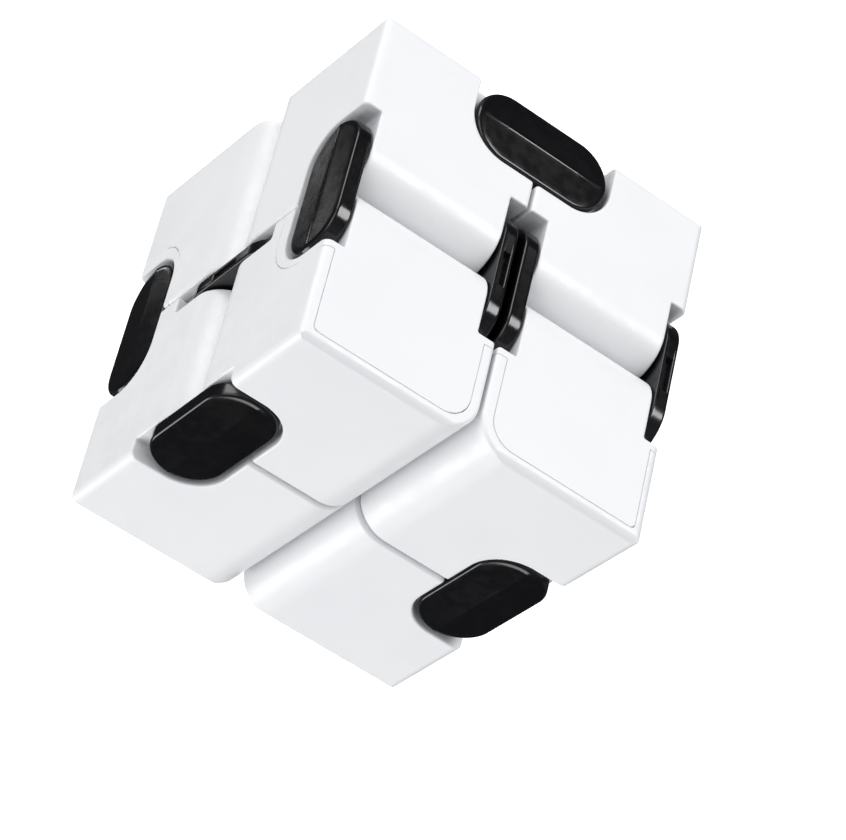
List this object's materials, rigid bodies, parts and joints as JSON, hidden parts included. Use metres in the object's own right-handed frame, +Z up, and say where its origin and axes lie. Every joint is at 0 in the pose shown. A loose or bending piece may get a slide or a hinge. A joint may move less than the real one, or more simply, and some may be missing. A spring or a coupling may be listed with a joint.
{
  "type": "infinity cube fidget toy",
  "caption": "Folding cube of hollow white cubies joined in a closed loop by black double-pivot link hinges, shown closed as one block.",
  "frame": {"origin": "centre of the base of the closed cube", "axes": "+Z up; -Y is the front, whose two side edges carry the front hinges; +X is the right; the spine of the book fold is at the back"},
  "size_m": [0.04, 0.04, 0.04],
  "materials": {
    "white_shell": "satin moulded ABS with a fine grain",
    "black_link": "smooth black, between satin and gloss",
    "steel_pin": "drawn bright steel"
  },
  "bodies": {
    "front_left_cubies": {"front_left_top_shell": "white_shell", "front_left_top_cover": "white_shell", "front_left_bottom_shell": "white_shell", "front_left_bottom_lid": "white_shell", "left_front_hinge_outer_plate": "black_link", "left_front_hinge_inner_plate": "black_link", "left_front_hinge_lower_pin": "steel_pin", "left_front_hinge_upper_pin": "steel_pin"},
    "top_left_link": {"top_left_hinge_outer_plate": "black_link", "top_left_hinge_inner_plate": "black_link", "top_left_hinge_front_pin": "steel_pin", "top_left_hinge_back_pin": "steel_pin"},
    "back_left_top_cubie": {"back_left_top_shell": "white_shell", "back_left_top_lid": "white_shell"},
    "back_top_link": {"back_top_hinge_outer_plate": "black_link", "back_top_hinge_inner_plate": "black_link", "back_top_hinge_left_pin": "steel_pin", "back_top_hinge_right_pin": "steel_pin"},
    "back_right_top_cubie": {"back_right_top_shell": "white_shell", "back_right_top_lid": "white_shell"},
    "top_right_link": {"top_right_hinge_outer_plate": "black_link", "top_right_hinge_inner_plate": "black_link", "top_right_hinge_front_pin": "steel_pin", "top_right_hinge_back_pin": "steel_pin"},
    "front_right_cubies": {"front_right_top_shell": "white_shell", "front_right_top_cover": "white_shell", "front_right_bottom_shell": "white_shell", "front_right_bottom_lid": "white_shell", "right_front_hinge_outer_plate": "black_link", "right_front_hinge_inner_plate": "black_link", "right_front_hinge_lower_pin": "steel_pin", "right_front_hinge_upper_pin": "steel_pin"},
    "bottom_left_link": {"bottom_left_hinge_outer_plate": "black_link", "bottom_left_hinge_inner_plate": "black_link", "bottom_left_hinge_front_pin": "steel_pin", "bottom_left_hinge_back_pin": "steel_pin"},
    "back_left_bottom_cubie": {"back_left_bottom_shell": "white_shell", "back_left_bottom_cover": "white_shell"},
    "back_bottom_link": {"back_bottom_hinge_outer_plate": "black_link", "back_bottom_hinge_inner_plate": "black_link", "back_bottom_hinge_left_pin": "steel_pin", "back_bottom_hinge_right_pin": "steel_pin"},
    "back_right_bottom_cubie": {"back_right_bottom_shell": "white_shell", "back_right_bottom_cover": "white_shell"},
    "bottom_right_link": {"bottom_right_hinge_outer_plate": "black_link", "bottom_right_hinge_inner_plate": "black_link", "bottom_right_hinge_front_pin": "steel_pin", "bottom_right_hinge_back_pin": "steel_pin"}
  },
  "joints": [
    {"name": "top_flap", "type": "hinge", "parent": "front_left_cubies", "child": "top_left_link", "pos_m": [-0.0101, -0.0041, 0.0361], "axis": [1, 0, 0], "range_deg": [0, 90]},
    {"name": "back_left_top_turn", "type": "hinge", "parent": "top_left_link", "child": "back_left_top_cubie", "pos_m": [-0.0101, 0.0041, 0.0361], "axis": [1, 0, 0], "range_deg": [0, 90]},
    {"name": "bottom_flap", "type": "hinge", "parent": "front_left_cubies", "child": "bottom_left_link", "pos_m": [-0.0101, -0.0041, 0.0039], "axis": [-1, 0, 0], "range_deg": [0, 90]},
    {"name": "back_left_bottom_turn", "type": "hinge", "parent": "bottom_left_link", "child": "back_left_bottom_cubie", "pos_m": [-0.0101, 0.0041, 0.0039], "axis": [-1, 0, 0], "range_deg": [0, 90]},
    {"name": "book", "type": "hinge", "parent": "back_left_top_cubie", "child": "back_top_link", "pos_m": [-0.0041, 0.0161, 0.0301], "axis": [0, 0, 1], "range_deg": [0, 90]},
    {"name": "back_right_top_turn", "type": "hinge", "parent": "back_top_link", "child": "back_right_top_cubie", "pos_m": [0.0041, 0.0161, 0.0301], "axis": [0, 0, 1], "range_deg": [0, 90]},
    {"name": "back_bottom_link_turn", "type": "hinge", "parent": "back_left_bottom_cubie", "child": "back_bottom_link", "pos_m": [-0.0041, 0.0161, 0.0099], "axis": [0, 0, 1], "range_deg": [0, 90]},
    {"name": "back_right_bottom_turn", "type": "hinge", "parent": "back_bottom_link", "child": "back_right_bottom_cubie", "pos_m": [0.0041, 0.0161, 0.0099], "axis": [0, 0, 1], "range_deg": [0, 90]},
    {"name": "top_right_link_turn", "type": "hinge", "parent": "back_right_top_cubie", "child": "top_right_link", "pos_m": [0.0101, 0.0041, 0.0361], "axis": [1, 0, 0], "range_deg": [-90, 0]},
    {"name": "front_right_turn", "type": "hinge", "parent": "top_right_link", "child": "front_right_cubies", "pos_m": [0.0101, -0.0041, 0.0361], "axis": [1, 0, 0], "range_deg": [-90, 0]},
    {"name": "bottom_right_link_turn", "type": "hinge", "parent": "front_right_cubies", "child": "bottom_right_link", "pos_m": [0.0101, -0.0041, 0.0039], "axis": [-1, 0, 0], "range_deg": [0, 90]}
  ],
  "couplings": [
    {"joint": "back_left_top_turn", "follows": "top_flap", "ratio": 1},
    {"joint": "top_right_link_turn", "follows": "top_flap", "ratio": -1},
    {"joint": "front_right_turn", "follows": "top_flap", "ratio": -1},
    {"joint": "back_left_bottom_turn", "follows": "bottom_flap", "ratio": 1},
    {"joint": "bottom_right_link_turn", "follows": "bottom_flap", "ratio": 1},
    {"joint": "back_right_top_turn", "follows": "book", "ratio": 1},
    {"joint": "back_bottom_link_turn", "follows": "book", "ratio": 1},
    {"joint": "back_right_bottom_turn", "follows": "book", "ratio": 1}
  ]
}
